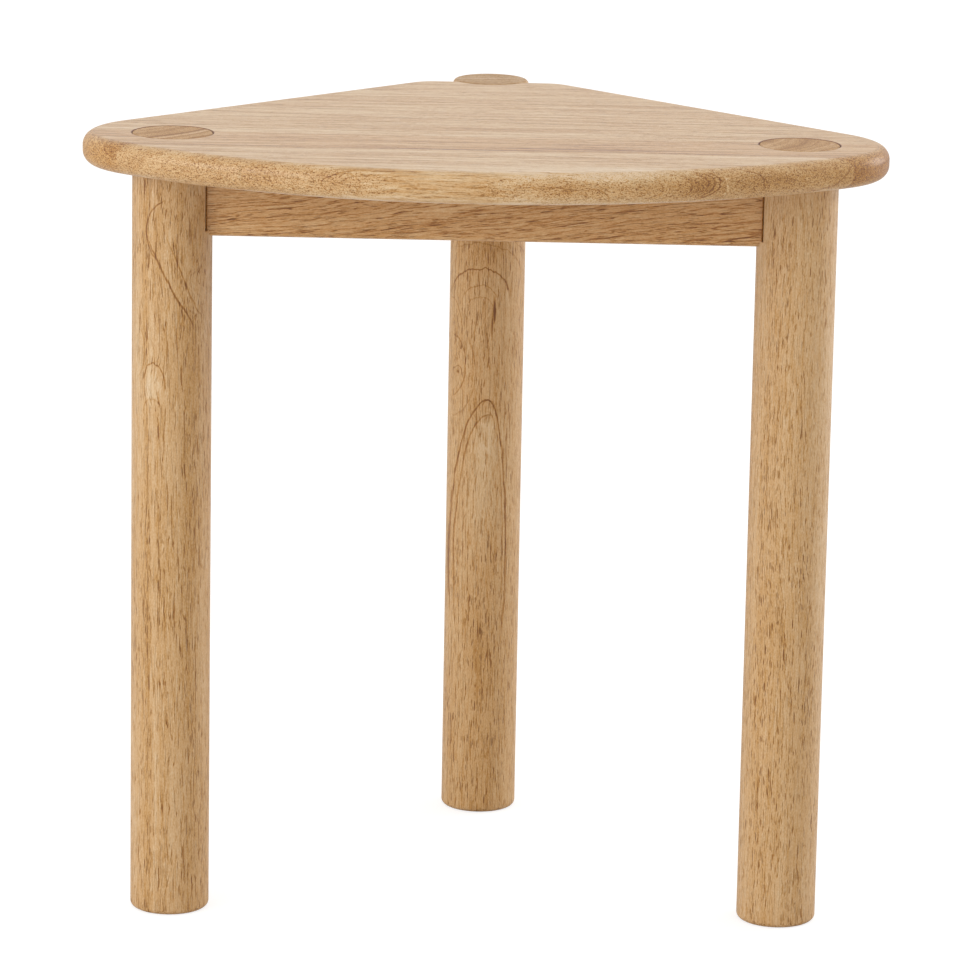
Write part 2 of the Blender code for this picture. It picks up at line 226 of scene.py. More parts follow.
def finish_piece(node, bm, material, cutters=(), place=Vector((0, 0, 0)), turn=0.0):
    """Make the finer piece that stands for a node."""
    piece = carve(to_object(node + "_fine", bm, material, place, turn), cutters)
    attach(piece, "root")
    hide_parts(node)


# The top

def top_outline(inset):
    """Plan of the top, anticlockwise from the left of the front arc, drawn in by inset."""
    inset = inset + FACET_ALLOWANCE
    corner_x = FRONT_LEG_X - CORNER_INBOARD
    corner_radius = LEG_RADIUS + CORNER_MARGIN

    bulge = FRONT_REACH - corner_radius
    front_centre = (corner_x ** 2 + CORNER_BEHIND ** 2 - bulge ** 2) / (2 * (bulge + CORNER_BEHIND))
    front_radius = front_centre + FRONT_REACH
    front_angle = math.atan2(CORNER_BEHIND - front_centre, corner_x)

    notch_half_width = math.sqrt(LEG_RADIUS ** 2 - CUT_BEFORE_AXIS ** 2)
    cut_end = notch_half_width + BACK_SHOULDER
    run_x = cut_end - corner_x
    run_y = BACK_CUT - CORNER_BEHIND
    side_angle = math.atan2(run_y, run_x) - math.acos(corner_radius / math.hypot(run_x, run_y))
    shoulder_x = cut_end - SHOULDER_ROUNDING * (1 - math.sin(side_angle)) / math.cos(side_angle)
    shoulder_y = BACK_CUT - SHOULDER_ROUNDING

    front = arc((0, front_centre), front_radius - inset,
                -math.pi - front_angle, front_angle, FRONT_ARC_STEPS)
    corner = arc((corner_x, CORNER_BEHIND), corner_radius - inset,
                 front_angle, side_angle, CORNER_ARC_STEPS)
    shoulder = arc((shoulder_x, shoulder_y), SHOULDER_ROUNDING - inset,
                   side_angle, QUARTER, SHOULDER_ARC_STEPS)
    right_side = corner[1:] + shoulder
    left_side = [(-x, y) for x, y in reversed(right_side)]
    return front + right_side + left_side


def top_blank():
    rounding = TOP_EDGE_ROUNDING
    lower = arc((rounding, TOP_UNDERSIDE + rounding), rounding,
                -QUARTER, -2 * QUARTER, EDGE_STEPS)
    upper = arc((rounding, TABLE_HEIGHT - rounding), rounding,
                2 * QUARTER, QUARTER, EDGE_STEPS)
    return loft([
        [(x, y + LEG_LINE, z) for x, y in top_outline(inset)]
        for inset, z in lower + upper
    ])


def slice_off(bm, line, direction):
    """Remove what lies beyond a plane across Y, and close the cut."""
    result = bmesh.ops.bisect_plane(
        bm, geom=bm.verts[:] + bm.edges[:] + bm.faces[:], dist=MERGE_DISTANCE,
        plane_co=(0, line, 0), plane_no=(0, direction, 0), clear_outer=True,
    )
    rim = [item for item in result["geom_cut"] if isinstance(item, bmesh.types.BMEdge)]
    bmesh.ops.edgeloop_fill(bm, edges=rim)


def meets(cutter, box):
    """Whether a cutter reaches between the front and the back of a box."""
    reach = [vertex.co.y for vertex in cutter.data.vertices]
    return min(reach) < box[1].y and max(reach) > box[0].y


def build_top(cutters):
    """Boards that meet at hairline glue lines, halfway between the plainer boards."""
    lines = [
        (front[1].y + back[0].y) / 2
        for front, back in zip(BOARD_BOXES, BOARD_BOXES[1:])
    ]
    for number, name in enumerate(BOARD_NAMES):
        bm = top_blank()
        if number > 0:
            slice_off(bm, lines[number - 1] + GLUE_GAP / 2, -1)
        if number < len(lines):
            slice_off(bm, lines[number] - GLUE_GAP / 2, 1)
        met = [cutter for cutter in cutters if meets(cutter, BOARD_BOXES[number])]
        finish_piece(name, bm, board_timber(number), met)


# Legs

def rail_heading(rail, leg):
    """Heading in plan from a leg's axis along one of its rails."""
    start, end = RAILS[rail]
    other = end if start == leg else start
    run = LEG_AXES[other] - LEG_AXES[leg]
    return math.atan2(run.y, run.x)


def build_leg(leg, cutters):
    head_rounding = BACK_LEG_TOP_ROUNDING if leg == "back" else FRONT_LEG_TOP_ROUNDING
    foot = arc((LEG_RADIUS - FOOT_ROUNDING, FOOT_ROUNDING), FOOT_ROUNDING,
               -QUARTER, 0, ROUNDING_STEPS)
    head = arc((LEG_RADIUS - head_rounding, TABLE_HEIGHT - head_rounding), head_rounding,
               0, QUARTER, ROUNDING_STEPS)
    bm = lathe(foot + head, LEG_SIDES)
    finish_piece("leg_" + leg, bm, leg_timber(leg), cutters, LEG_AXES[leg])


def leg_hole(leg):
    """Cutter for the hole in the top, with a chamfer at its upper rim."""
    radius = LEG_RADIUS + FIT_GAP
    rim = OVERRUN + HOLE_CHAMFER
    profile = [
        (radius, TOP_UNDERSIDE - OVERRUN),
        (radius, TABLE_HEIGHT - HOLE_CHAMFER),
        (radius + rim, TABLE_HEIGHT + OVERRUN),
    ]
    return to_object("hole_" + leg, lathe(profile, LEG_SIDES), place=LEG_AXES[leg])


def leg_flat(leg, rail):
    """Cutter for the flat that a rail's end butts on, with a foot that fits the rail."""
    reach = 2 * LEG_RADIUS
    half = RAIL_THICKNESS / 2 + SEAT_GAP
    low = RAIL_LOWER_ROUNDING
    shelf = RAIL_BOTTOM + low
    seat = arc((half - low, shelf - SEAT_GAP), low, -QUARTER, 0, ROUNDING_STEPS)
    right = seat + [(half, shelf), (reach, shelf), (reach, TOP_UNDERSIDE)]
    outline = right + [(-y, z) for y, z in reversed(right)]
    bm = loft([[(x, y, z) for y, z in outline] for x in (FLAT_DISTANCE - FIT_GAP, reach)])
    return to_object(f"flat_{leg}_{rail}", bm,
                     place=LEG_AXES[leg], turn=rail_heading(rail, leg))


# Rails, each drawn with +X along it and its middle at the origin

def rail_section(inset):
    """A rail's cross-section as (y, z), anticlockwise seen from +X, drawn in by inset."""
    half = RAIL_THICKNESS / 2
    low, high = RAIL_LOWER_ROUNDING, RAIL_UPPER_ROUNDING
    right = arc((half - low, RAIL_BOTTOM + low), low - inset, -QUARTER, 0, ROUNDING_STEPS)
    right += arc((half - high, RAIL_TOP - high), high - inset, 0, QUARTER, ROUNDING_STEPS)
    return right + [(-y, z) for y, z in reversed(right)]


def rail_run(rail):
    """Middle of a rail in plan, its heading and its length."""
    start, end = (LEG_AXES[leg] for leg in RAILS[rail])
    run = end - start
    return (start + end) / 2, math.atan2(run.y, run.x), run.length - 2 * FLAT_DISTANCE


def build_rail(rail, cutters):
    middle, heading, length = rail_run(rail)
    end = length / 2
    stations = ((-end, RAIL_END_CHAMFER), (RAIL_END_CHAMFER - end, 0),
                (end - RAIL_END_CHAMFER, 0), (end, RAIL_END_CHAMFER))
    bm = loft([[(x, y, z) for y, z in rail_section(inset)] for x, inset in stations])
    finish_piece("rail_" + rail, bm, rail_timber(rail), cutters, middle, heading)


# Dowels, drawn with +X from the leg's axis along the rail

def dowel_socket(leg, rail, level):
    """Cutter for a dowel's hole, in the leg and in the rail's end alike."""
    ends = (DOWEL_START - DOWEL_END_ROOM, DOWEL_END + DOWEL_END_ROOM)
    bm = lathe([(DOWEL_RADIUS + FIT_GAP, z) for z in ends], HOLE_SIDES)
    lay_along_x(bm)
    return to_object(f"socket_{leg}_{rail}_{level}", bm,
                     place=dowel_place(leg, level), turn=rail_heading(rail, leg))


def dowel_place(leg, level):
    low, high = DOWEL_BOXES[level]
    return LEG_AXES[leg] + Vector((0, 0, (low.z + high.z) / 2))


def fluted_circle(radius, z):
    points = []
    for i in range(DOWEL_SIDES):
        angle = 2 * math.pi * i / DOWEL_SIDES
        groove = (1 - math.cos(DOWEL_FLUTES * angle)) / 2
        reach = radius - DOWEL_FLUTE_DEPTH * groove
        points.append((reach * math.cos(angle), reach * math.sin(angle), z))
    return points


def build_dowel(leg, rail, level, material):
    chamfer = ((DOWEL_CHAMFER, 0), (DOWEL_CHAMFER / 4, DOWEL_CHAMFER / 2), (0, DOWEL_CHAMFER))
    profile = [(DOWEL_RADIUS - inset, DOWEL_START + step) for inset, step in chamfer]
    profile += [(DOWEL_RADIUS - inset, DOWEL_END - step) for inset, step in reversed(chamfer)]
    bm = loft([fluted_circle(radius, z) for radius, z in profile])
    lay_along_x(bm)
    finish_piece(f"dowel_{rail}_rail_at_{leg}_leg_{level}", bm, material,
                 place=dowel_place(leg, level), turn=rail_heading(rail, leg))


# Screws, drawn head down with the underside of the head at z = 0

def screw_seat(name):
    """Where a screw's axis meets the underside of its head, and its length from there."""
    low, high = SCREW_BOXES[name]
    middle = (low + high) / 2
    seat = low.z + HEAD_HEIGHT
    return Vector((middle.x, middle.y, seat)), high.z - seat


def screw_bore(name):
    """Cutter for a screw's counterbore and hole, through a rail and into the top."""
    place, length = screw_seat(name)
    narrow = SCREW_RADIUS + FIT_GAP
    profile = [
        (COUNTERBORE_RADIUS, RAIL_BOTTOM - OVERRUN - place.z),
        (COUNTERBORE_RADIUS, FIT_GAP),
        (narrow, FIT_GAP),
        (narrow, length + SCREW_END_ROOM),
    ]
    return to_object("bore_" + name, lathe(profile, HOLE_SIDES), place=place)


def cross(span, width, z):
    """A cross with square ends, with three points for each of its twelve sides."""
    arm, half = span / 2, width / 2
    corners = []
    for x, y in ((1, 0), (0, 1), (-1, 0), (0, -1)):
        for ahead, aside in ((arm, -half), (arm, half), (half, half)):
            corners.append(Vector((ahead * x - aside * y, ahead * y + aside * x, z)))
    points = []
    for start, end in zip(corners, corners[1:] + corners[:1]):
        points += [start.lerp(end, step / 3) for step in range(3)]
    return points


def screw_circle(radius, z):
    """A circle whose points line up with those of the cross."""
    turn = Matrix.Rotation(-CROSS_TURN, 3, "Z")
    return [turn @ Vector(point) for point in circle(radius, z, SCREW_SIDES)]


def thread_rows(start):
    """Rows of points that wind up a thread and run out level at both ends."""
    end = start + THREAD_TURNS * THREAD_PITCH
    rows = []
    for row in range(THREAD_ROWS * (THREAD_TURNS + 1) + 1):
        points = []
        for side in range(SCREW_SIDES + 1):
            height = start + (row / THREAD_ROWS + side / SCREW_SIDES - 1) * THREAD_PITCH
            inside = min(height - start, end - height) / THREAD_PITCH
            crest = min(max(inside, 0), 1) if row % THREAD_ROWS == 0 else 0
            radius = SCREW_CORE_RADIUS + (SCREW_RADIUS - SCREW_CORE_RADIUS) * crest
            angle = 2 * math.pi * side / SCREW_SIDES - CROSS_TURN
            level = min(max(height, start), end)
            points.append((radius * math.cos(angle), radius * math.sin(angle), level))
        rows.append(points)
    return rows


def head_profile():
    """Radius and height of a pan head, from its crown round to its underside."""
    points = []
    for step in range(ROUNDING_STEPS + 1):
        angle = QUARTER * step / ROUNDING_STEPS
        radius = HEAD_CROWN_RADIUS + (HEAD_RADIUS - HEAD_CROWN_RADIUS) * math.sin(angle)
        height = HEAD_EDGE_HEIGHT + (HEAD_HEIGHT - HEAD_EDGE_HEIGHT) * math.cos(angle)
        points.append((radius, -height))
    return points + [(HEAD_RADIUS, 0)]


def build_screw(name, material):
    place, length = screw_seat(name)
    thread_end = length - SCREW_TIP_LENGTH
    thread_start = thread_end - THREAD_TURNS * THREAD_PITCH
    head_and_shank = [
        cross(RECESS_SPAN * RECESS_TAPER_SHARE, RECESS_WIDTH, RECESS_DEPTH - HEAD_HEIGHT),
        cross(RECESS_SPAN, RECESS_WIDTH, -HEAD_HEIGHT),
    ]
    profile = head_profile() + [(SCREW_CORE_RADIUS, z) for z in (0, thread_start)]
    head_and_shank += [screw_circle(radius, z) for radius, z in profile]
    tip = [screw_circle(SCREW_CORE_RADIUS, thread_end), screw_circle(SCREW_TIP_RADIUS, length)]
    bm = bmesh.new()
    bm.faces.new(skin(bm, head_and_shank)[0][::-1])
    skin(bm, thread_rows(thread_start), closed=False)
    bm.faces.new(skin(bm, tip)[-1])
    bmesh.ops.remove_doubles(bm, verts=bm.verts, dist=MERGE_DISTANCE)
    finish_piece(name, bm, material, place=place)


# Materials

class Tree:
    """Short calls that add nodes to a material or a world."""

    def __init__(self, owner):
        owner.use_nodes = True
        self.owner = owner
        self.tree = owner.node_tree
        self.output = next(item for item in self.tree.nodes if "Output" in item.bl_idname)
        self.shader = self.output.inputs["Surface"].links[0].from_node

    def feed(self, item, inputs):
        """Link or set a node's inputs, which are given by name or number."""
        for key, value in inputs.items():
            if isinstance(value, bpy.types.NodeSocket):
                self.tree.links.new(value, item.inputs[key])
            else:
                item.inputs[key].default_value = value

    def node(self, kind, inputs=None, **settings):
        item = self.tree.nodes.new("ShaderNode" + kind)
        for key, value in settings.items():
            setattr(item, key, value)
        self.feed(item, inputs or {})
        return item

    def math(self, operation, *values):
        return self.node("Math", dict(enumerate(values)), operation=operation).outputs["Value"]

    def times(self, first, second):
        return self.math("MULTIPLY", first, second)

    def scale_add(self, value, factor, base):
        """Value times factor, plus base."""
        return self.math("MULTIPLY_ADD", value, factor, base)

    def vector(self, operation, *values):
        item = self.node("VectorMath", dict(enumerate(values)), operation=operation)
        scalar = operation in ("LENGTH", "DOT_PRODUCT")
        return item.outputs["Value" if scalar else "Vector"]

    def noise(self, place, wave, detail=2.0, roughness=0.5, output="Fac"):
        """Noise whose waves are about as long as wave says for each axis."""
        scaled = self.vector("DIVIDE", place, wave)
        return self.node("TexNoise", {
            "Vector": scaled, "Scale": 1.0, "Detail": detail, "Roughness": roughness,
        }).outputs[output]

    def between(self, value, low, high, to_low=0.0, to_high=1.0):
        """Smooth step from to_low, at low, to to_high, at high."""
        item = self.node("MapRange", {
            "Value": value, "From Min": low, "From Max": high, "To Min": to_low, "To Max": to_high,
        }, interpolation_type="SMOOTHSTEP")
        return item.outputs["Result"]

    def mix(self, share, first, second, blend="MIX"):
        inputs = {0: share, 6: first, 7: second}
        return self.node("Mix", inputs, data_type="RGBA", blend_type=blend).outputs[2]

    def ramp(self, value, stops):
        item = self.node("ValToRGB", {"Fac": value})
        elements = item.color_ramp.elements
        elements.remove(elements[-1])
        elements[0].position, elements[0].color = stops[0][0], (*stops[0][1], 1)
        for position, colour in stops[1:]:
            elements.new(position).color = (*colour, 1)
        return item.outputs["Color"]

    def surface(self, colour, gloss, height, strength, distance):
        """Feed the shader its colour, its roughness and a relief."""
        relief = self.node("Bump", {"Height": height, "Strength": strength, "Distance": distance})
        self.feed(self.shader, {
            "Base Color": colour, "Roughness": gloss, "Normal": relief.outputs["Normal"],
        })


# Timber's linear colours by tone, from cream through honey and tan to the dark of its pores
PALEST_TONE = -0.35
DARKEST_TONE = 1.5
TONES = (
    (PALEST_TONE, (0.71, 0.52, 0.33)), (0.05, (0.64, 0.435, 0.225)),
    (0.42, (0.56, 0.328, 0.136)), (0.72, (0.47, 0.240, 0.064)),
    (1.0, (0.35, 0.152, 0.026)), (DARKEST_TONE, (0.19, 0.062, 0.007)),
)

# What makes one piece of timber look unlike another
PLAIN_LOOK = {
    "tone": 0.46,  # 0 is pale timber and 1 dark
    "tint": (1, 1, 1),
    "wander": 22,  # how far the rings stray
    "tremble": 2.2,
    "lean": 0,  # slope of the rings along the grain
    "band": 7,
    "contrast": 0.5,
    "streaky": 0.2,
    "fibre": 0.4,
    "pebble": 0.7,
    "specks": 0,  # fine dark specks where the fibres end
    "thread": 0.6,  # depth of the fine broken lines
    "stroke": 7,  # and about how long their pieces are
    "vein": 0.25,
    "end_depth": 0.3,  # how much darker end grain is
    "end_shade_slope": 0,  # and, as painted shade, how much more so per millimetre along the grain
    "end_tint": (1.02, 0.95, 0.5),
    "end_tinge": 1,  # share of that tint
    "end_shade_tinge_slope": 0,  # and, as painted shade, how much more of it per millimetre
    "end_fade": 0.6,  # share of the bands' contrast that end grain lacks, or gains below zero
    "rise": 0,  # how much darker per millimetre along the grain
    "pitch": 1.4,  # of the vessels
    "dash": 17,
    "pore_depth": 1.15,
    "sway": 1.3,
    "coat": 0.4,
    "veil": (-8, 0),  # oval lines fade between these depths
}

# The timber's noises: waves across the grain and along it, and detail
NOISES = {
    "slow": (45, 260, 1),
    "tremble": (9, 50, 3),
    "sway": (6, 26, 3),
    "patch": (26, 110, 2),
    "streaky": (2.6, 120, 2),
    "vein": (3.2, 90, 2),
    "strand": (1.6, 45, 1),
    "fibre": (0.7, 10, 1),
    "pebble": (0.65, 1.4, 1),
    "specks": (0.72, 0.85, 1),
    "ripple": (1, 4, 1),
}
SEED_STEP = Vector((131, 57, 311))
RING_SEED_STEP = 71
BAND_DETAIL = 3
BAND_ROUGHNESS = 0.55
PATCH_DEPTH = 0.35

LINE_SWAY = (3, 3, 6)  # how far the oval lines stray
OVAL_FADE = 0.4  # in half sizes, like the start
LONG_GRAIN = (0.002, 0.03)  # shares of end grain between which streaks fade
STREAKY_ON_END = 0.15
STREAK_ON_END = 0.3
STREAK_WANDER = 12
STREAK_TREMBLE = 2
SPECKS_FROM = (0.001, 0.012)  # shares of end grain between which specks appear
SPECK_LEVELS = (0.53, 0.66)
SPECK_MEAN = 0.13

# Threads: widths and offset are differences of noise
THREAD_WIDTH = 0.036
# A gleam is a painted highlight: a paler line beside each thread, as on the lit edge of a groove
GLEAM_OFFSET = 0.10
GLEAM_WIDTH = 0.05
GLEAM_SHARE = -0.3  # of the thread's depth
BREAK_ACROSS = 1.3
BREAK_LEVELS = (0.46, 0.53)
VEIN_WIDTH = 0.03

# Vessels: radii and distances are shares of their pitch
LARGE_VESSEL = 0.17
SMALL_VESSEL = 0.20
LEAST_VESSEL = 0.4  # share of the radius that the smallest have
VESSEL_EDGE = 0.06
# Painted highlight: a paler ring round each large vessel, as on the lit edge of a groove
VESSEL_HIGHLIGHT_RANGE = (0.05, 0.30)
VESSEL_HIGHLIGHT_DEPTH = -0.10
SMALL_SHIFT = (37.3, 11.9, 23.7)
SMALL_PITCH = 0.65  # shares of what the large ones have
SMALL_DASH = 0.6
SMALL_DEPTH = 0.7
CROWD_PATCH = 0.6
CROWD_LEVELS = (-0.18, 0.12)
CROWD_LEAST = 0.4

SOAK_LIMIT = 0.4
# Painted shade: a dark ring on the top round each leg's hole, where the gap round the leg lies in
# shade
HOLE_SHADE_RANGE = (0.6, 1.2)
HOLE_SHADE_DEPTH = 1.2
LACQUER_ROUGHNESS = 0.5
ROUGHENED_BY = (0.25, 0.2, 0.3)  # fibres, vessels and end grain
RAISED_BY = (-0.8, -0.6, 0.6)  # vessels, threads and fibres
RELIEF_STRENGTH = 1.0
RELIEF_DEPTH = 0.00025
LACQUER = {"Coat Roughness": 0.3, "IOR": 1.45, "Sheen Weight": 0.06, "Sheen Roughness": 0.5}


class Timber(Tree):
    """Solid timber in grain space (u, v, w) from origin, with w along the grain."""

    def __init__(self, name, origin, axes, seed, pith, look):
        super().__init__(bpy.data.materials.new(name))
        self.look = {**PLAIN_LOOK, **look}
        self.seed = seed
        self.tone = self.look["tone"]
        turn = Matrix(axes)
        mapping = self.node("Mapping", {
            "Vector": self.node("TexCoord").outputs["Object"],
            "Location": turn @ (Vector(origin) * -1000),
            "Rotation": turn.to_euler("XYZ"), "Scale": (1000, 1000, 1000),
        }, vector_type="POINT")
        self.place = mapping.outputs["Vector"]
        self.block = self.vector("ADD", self.place, SEED_STEP * seed)
        split = self.node("SeparateXYZ", {"Vector": self.place})
        self.sideways, self.inward, self.along = split.outputs
        self.slow = self.swing(self.block, "slow")
        self.tremble = self.swing(self.block, "tremble")
        from_pith = self.vector("SUBTRACT", self.place, (*pith, 0.0))
        self.spoke = self.vector("MULTIPLY", from_pith, (1, 1, 0))
        facing = self.node("TexCoord").outputs["Normal"]
        facing = self.math("ABSOLUTE", self.vector("DOT_PRODUCT", facing, axes[2]))
        self.end = self.math("POWER", facing, 2.0)

    def known_noise(self, place, name, output="Fac"):
        across, along, detail = NOISES[name]
        return self.noise(place, (across, across, along), detail, output=output)

    def swing(self, place, name):
        """Noise about zero."""
        return self.math("SUBTRACT", self.known_noise(place, name), 0.5)

    def near(self, point, reach):
        """One at a point, fading over the distances (across, inward, along) in reach."""
        away = self.vector("DIVIDE", self.vector("SUBTRACT", self.place, point), reach)
        square = self.vector("DOT_PRODUCT", away, away)
        return self.math("EXPONENT", self.times(square, -1.0))

    def line_along(self, value, width):
        """One where a value is zero, fading over width."""
        return self.between(self.math("ABSOLUTE", value), 0.0, width, 1.0, 0.0)

    def darken(self, pattern, depth):
        self.tone = self.scale_add(pattern, depth, self.tone)

    def grow(self, bumps):
        """Rings, as a distance from the pith, and the fibres that follow them.

        A bump (point, reach, height) pushes the rings out round a point.
        """
        look = self.look
        shift = self.times(self.slow, look["wander"])
        shift = self.scale_add(self.tremble, look["tremble"], shift)
        shift = self.scale_add(self.along, look["lean"], shift)
        for point, reach, height in bumps:
            shift = self.scale_add(self.near(point, reach), height, shift)
        self.ring = self.math("ADD", self.vector("LENGTH", self.spoke), shift)
        push = self.vector("MULTIPLY", self.vector("NORMALIZE", self.spoke), shift)
        sway = self.known_noise(self.block, "sway", "Color")
        sway = self.vector("SUBTRACT", sway, (0.5, 0.5, 0.5))
        stray = self.vector("MULTIPLY", sway, LINE_SWAY)
        self.strayed = self.vector("ADD", self.place, stray)
        sway = self.vector("MULTIPLY", sway, (look["sway"], look["sway"], 0.0))
        self.fibres = self.vector("ADD", self.vector("ADD", self.block, push), sway)

    def add_bands(self):
        numbered = self.math("ADD", self.ring, self.seed * RING_SEED_STEP)
        bands = self.node("TexNoise", {
            "W": self.math("DIVIDE", numbered, self.look["band"]), "Scale": 1.0,
            "Detail": BAND_DETAIL, "Roughness": BAND_ROUGHNESS,
        }, noise_dimensions="1D")
        self.bands = self.math("SUBTRACT", bands.outputs["Fac"], 0.5)
        kept = self.scale_add(self.end, -self.look["end_fade"], 1.0)
        self.darken(self.times(self.bands, kept), self.look["contrast"])
        self.patch = self.swing(self.block, "patch")
        self.darken(self.patch, PATCH_DEPTH)

    def add_grain(self):
        """Streaks and fibres along the grain, specks on end grain and pebbles all over."""
        kept = self.between(self.end, *LONG_GRAIN, 1.0, STREAKY_ON_END)
        streaky = self.times(self.swing(self.fibres, "streaky"), kept)
        self.darken(streaky, self.look["streaky"])
        self.fibre = self.swing(self.fibres, "fibre")
        self.darken(self.fibre, self.look["fibre"])
        specks = self.known_noise(self.block, "specks")
        specks = self.math("SUBTRACT", self.between(specks, *SPECK_LEVELS), SPECK_MEAN)
        specks = self.times(specks, self.between(self.end, *SPECKS_FROM))
        self.darken(specks, self.look["specks"])
        self.darken(self.swing(self.block, "pebble"), self.look["pebble"])

    def add_threads(self):
        """Fine broken lines along the grain, with a painted highlight beside each, and unbroken
        veins.
        """
        strand = self.swing(self.fibres, "strand")
        wave = (BREAK_ACROSS, BREAK_ACROSS, self.look["stroke"])
        broken = self.between(self.noise(self.block, wave, 1.0), *BREAK_LEVELS)
        self.threads = self.times(self.line_along(strand, THREAD_WIDTH), broken)
        self.darken(self.threads, self.look["thread"])
        # Painted highlight beside each thread
        beside = self.line_along(self.math("SUBTRACT", strand, GLEAM_OFFSET), GLEAM_WIDTH)
        painted_gleams = self.times(beside, broken)
        self.darken(painted_gleams, GLEAM_SHARE * self.look["thread"])
        veins = self.line_along(self.swing(self.fibres, "vein"), VEIN_WIDTH)
        self.darken(veins, self.look["vein"])

    def off_vessels(self, place, pitch, length, radius):
        """How far outside the nearest vessel a point lies."""
        scaled = self.vector("DIVIDE", place, (pitch, pitch, length))
        cell = self.node("TexVoronoi", {"Vector": scaled, "Scale": 1.0})
        size = self.node("SeparateColor", {"Color": cell.outputs["Color"]}).outputs["Red"]
        rim = self.scale_add(size, radius, LEAST_VESSEL * radius)
        return self.math("SUBTRACT", cell.outputs["Distance"], rim)

    def add_vessels(self):
        """Vessels of two sizes, crowded in the darker bands, the large ones with a painted highlight
        round them.
        """
        pitch, dash = self.look["pitch"], self.look["dash"]
        off_large = self.off_vessels(self.fibres, pitch, dash, LARGE_VESSEL)
        moved = self.vector("ADD", self.fibres, SMALL_SHIFT)
        off_small = self.off_vessels(moved, SMALL_PITCH * pitch, SMALL_DASH * dash, SMALL_VESSEL)
        large = self.between(off_large, -VESSEL_EDGE, VESSEL_EDGE, 1.0, 0.0)
        small = self.between(off_small, -VESSEL_EDGE, VESSEL_EDGE, SMALL_DEPTH, 0.0)
        darkness = self.scale_add(self.patch, CROWD_PATCH, self.bands)
        crowd = self.between(darkness, *CROWD_LEVELS, CROWD_LEAST, 1.0)
        self.vessel = self.times(self.math("MAXIMUM", large, small), crowd)
        self.darken(self.vessel, self.look["pore_depth"])
        # Painted highlight round each large vessel
        self.darken(self.between(off_large, *VESSEL_HIGHLIGHT_RANGE, 1.0, 0.0), VESSEL_HIGHLIGHT_DEPTH)

    def add_slopes(self):
        """What changes along the piece, and end grain, which soaks up more colour and takes painted
        shade that deepens along the grain.
        """
        look = self.look
        self.darken(self.along, look["rise"])
        # End grain's own darkness, plus painted shade that deepens per millimetre along the grain
        depth = self.scale_add(self.along, look["end_shade_slope"], look["end_depth"])
        soaked = self.times(self.end, self.scale_add(self.end, -SOAK_LIMIT, 1.0))
        self.darken(soaked, depth)

    def oval(self, centre, halves, facing, start, width):
        """Part of an oval line, endless in the direction whose half size is zero.

        It shows where it lies further than start, in half sizes, towards facing. A longer
        facing, with a start to match, gives a shorter line.
        """
        shrink = Vector([1.0 / half if half else 0.0 for half in halves])
        away = self.vector("MULTIPLY", self.vector("SUBTRACT", self.strayed, centre), shrink)
        excess = self.math("SUBTRACT", self.vector("DOT_PRODUCT", away, away), 1.0)
        steepness = self.vector("LENGTH", self.vector("MULTIPLY", away, shrink))
        off = self.math("DIVIDE", excess, self.times(steepness, 2.0))
        line = self.line_along(off, width)
        side = self.vector("DOT_PRODUCT", away, facing)
        inner, outer = self.look["veil"]
        front = self.between(self.inward, inner, outer, 1.0, 0.0)
        shown = self.times(self.between(side, start, start + OVAL_FADE), front)
        return self.times(line, shown)

    def add_figures(self, spots, ovals, streaks, holes):
        """Single marks, among them painted light and painted shade.

        A spot (point, reach, depth) darkens a place, an oval (centre, half sizes, facing, start,
        width, depth) a line, and a streak (u, slope, width, depth) a line along the grain.
        Painted shade darkens the timber close round a hole (u, w) for a leg, where the gap round the
        leg lies in shade.
        """
        for point, reach, depth in spots:
            self.darken(self.near(point, reach), depth)
        for *shape, depth in ovals:
            self.darken(self.oval(*shape), depth)
        # Painted shade round each leg's hole
        for u, w in holes:
            away = self.vector("SUBTRACT", self.place, (u, 0.0, w))
            away = self.vector("MULTIPLY", away, (1, 0, 1))
            off = self.math("SUBTRACT", self.vector("LENGTH", away), 1000 * LEG_RADIUS)
            self.darken(self.between(off, *HOLE_SHADE_RANGE, 1.0, 0.0), HOLE_SHADE_DEPTH)
        if streaks:
            side = self.scale_add(self.slow, STREAK_WANDER, self.sideways)
            side = self.scale_add(self.tremble, STREAK_TREMBLE, side)
            kept = self.between(self.end, *LONG_GRAIN, 1.0, STREAK_ON_END)
        for u, slope, width, depth in streaks:
            off = self.math("SUBTRACT", side, self.scale_add(self.along, slope, u))
            self.darken(self.times(self.line_along(off, width), kept), depth)

    def coloured(self):
        look = self.look
        span = DARKEST_TONE - PALEST_TONE
        stops = [((level - PALEST_TONE) / span, shade) for level, shade in TONES]
        colour = self.ramp(self.scale_add(self.tone, 1.0 / span, -PALEST_TONE / span), stops)
        if look["tint"] != PLAIN_LOOK["tint"]:
            colour = self.mix(1.0, colour, (*look["tint"], 1), "MULTIPLY")
        # End grain's own tint, plus painted shade that warms it per millimetre along the grain
        tinge = self.scale_add(self.along, look["end_shade_tinge_slope"], look["end_tinge"])
        tinge = self.node("Clamp", {"Value": self.times(tinge, self.end)})
        return self.mix(tinge.outputs["Result"], colour, (*look["end_tint"], 1), "MULTIPLY")

    def lacquer(self):
        """Satin lacquer over the colour, duller on fibres, vessels and end grain."""
        gloss = LACQUER_ROUGHNESS
        for part, weight in zip((self.fibre, self.vessel, self.end), ROUGHENED_BY):
            gloss = self.scale_add(part, weight, gloss)
        height = self.swing(self.fibres, "ripple")
        for part, weight in zip((self.vessel, self.threads, self.fibre), RAISED_BY):
            height = self.scale_add(part, weight, height)
        self.surface(self.coloured(), gloss, height, RELIEF_STRENGTH, RELIEF_DEPTH)
        self.feed(self.shader, {**LACQUER, "Coat Weight": self.look["coat"]})


